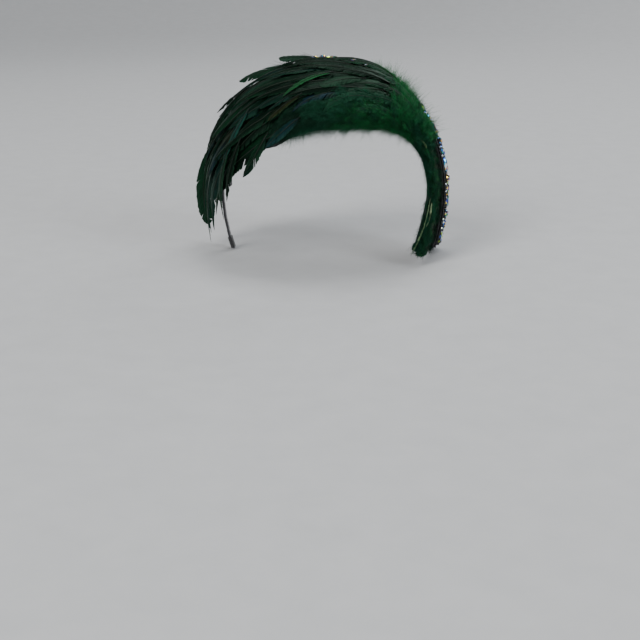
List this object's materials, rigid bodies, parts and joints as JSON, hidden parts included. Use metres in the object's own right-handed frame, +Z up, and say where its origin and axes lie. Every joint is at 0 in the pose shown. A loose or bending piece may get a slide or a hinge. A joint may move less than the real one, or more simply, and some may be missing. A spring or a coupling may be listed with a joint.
{
  "type": "fascinator headpiece",
  "caption": "Headband fascinator: iridescent dark green feathers swept over a shaped base on a sprung arch, with green down and a jewelled crystal trim along its back edge.",
  "frame": {"origin": "midway between the two lower ends of the headband, where the head seat is taken", "axes": "+Z up, the wearer looks along -Y, +X is the wearer's left"},
  "size_m": [0.2163, 0.1259, 0.1644],
  "materials": {
    "spring_steel": "rolled spring-steel strip, blued grey, fully hidden",
    "black_satin": "black satin ribbon, fine diagonal weave with a soft sheen",
    "black_rubber": "matt black soft rubber",
    "sewing_thread": "black polyester thread, twisted",
    "base_buckram": "black stiffened open-weave millinery base",
    "millinery_wire": "black covered wire",
    "binding_grosgrain": "black ribbed grosgrain binding",
    "lining_satin": "black satin lining",
    "coque_vane": "feather vane standing in as fabric: near black, with green, teal, blue and bronze iridescence",
    "coque_quill": "dark keratin quill, slightly glossy",
    "hackle_vane": "bright green dyed hackle, downy towards its root",
    "hackle_quill": "pale green and cream keratin quill",
    "green_down": "bright green dyed down, fine loose fibres",
    "root_tape": "black cotton tape with strung feather roots",
    "trim_felt": "black wool felt",
    "jet_bead": "opaque black glass seed beads, glossy",
    "ab_crystal": "foil-backed cut glass with a blue, green, yellow and violet rainbow coating",
    "clear_crystal": "foil-backed clear cut glass",
    "jet_setting": "black plated metal cups with claws"
  },
  "bodies": {
    "root": {"base_binding": "binding_grosgrain", "base_lining": "lining_satin", "base_shell": "base_buckram", "base_wire": "millinery_wire", "chaton_crystals": "clear_crystal", "chaton_settings": "jet_setting", "coque_shafts_row_1": "coque_quill", "coque_shafts_row_2": "coque_quill", "coque_shafts_row_3": "coque_quill", "coque_shafts_row_4": "coque_quill", "coque_shafts_row_5": "coque_quill", "coque_shafts_row_6": "coque_quill", "coque_vanes_row_1": "coque_vane", "coque_vanes_row_2": "coque_vane", "coque_vanes_row_3": "coque_vane", "coque_vanes_row_4": "coque_vane", "coque_vanes_row_5": "coque_vane", "coque_vanes_row_6": "coque_vane", "crown_fluff": "green_down", "drop_feather_shafts": "coque_quill", "drop_feather_vanes": "coque_vane", "feather_root_tape": "root_tape", "front_edge_down": "green_down", "headband_core": "spring_steel", "headband_stitches": "sewing_thread", "headband_tip_left": "black_rubber", "headband_tip_right": "black_rubber", "headband_wrap": "black_satin", "navette_crystals": "ab_crystal", "navette_settings": "jet_setting", "pear_crystals": "ab_crystal", "pear_settings": "jet_setting", "round_crystals": "ab_crystal", "round_settings": "jet_setting", "side_fluff": "green_down", "side_hackle_shafts": "hackle_quill", "side_hackle_vanes": "hackle_vane", "trim_backing": "trim_felt", "trim_edge_beads": "jet_bead"}
  },
  "joints": []
}
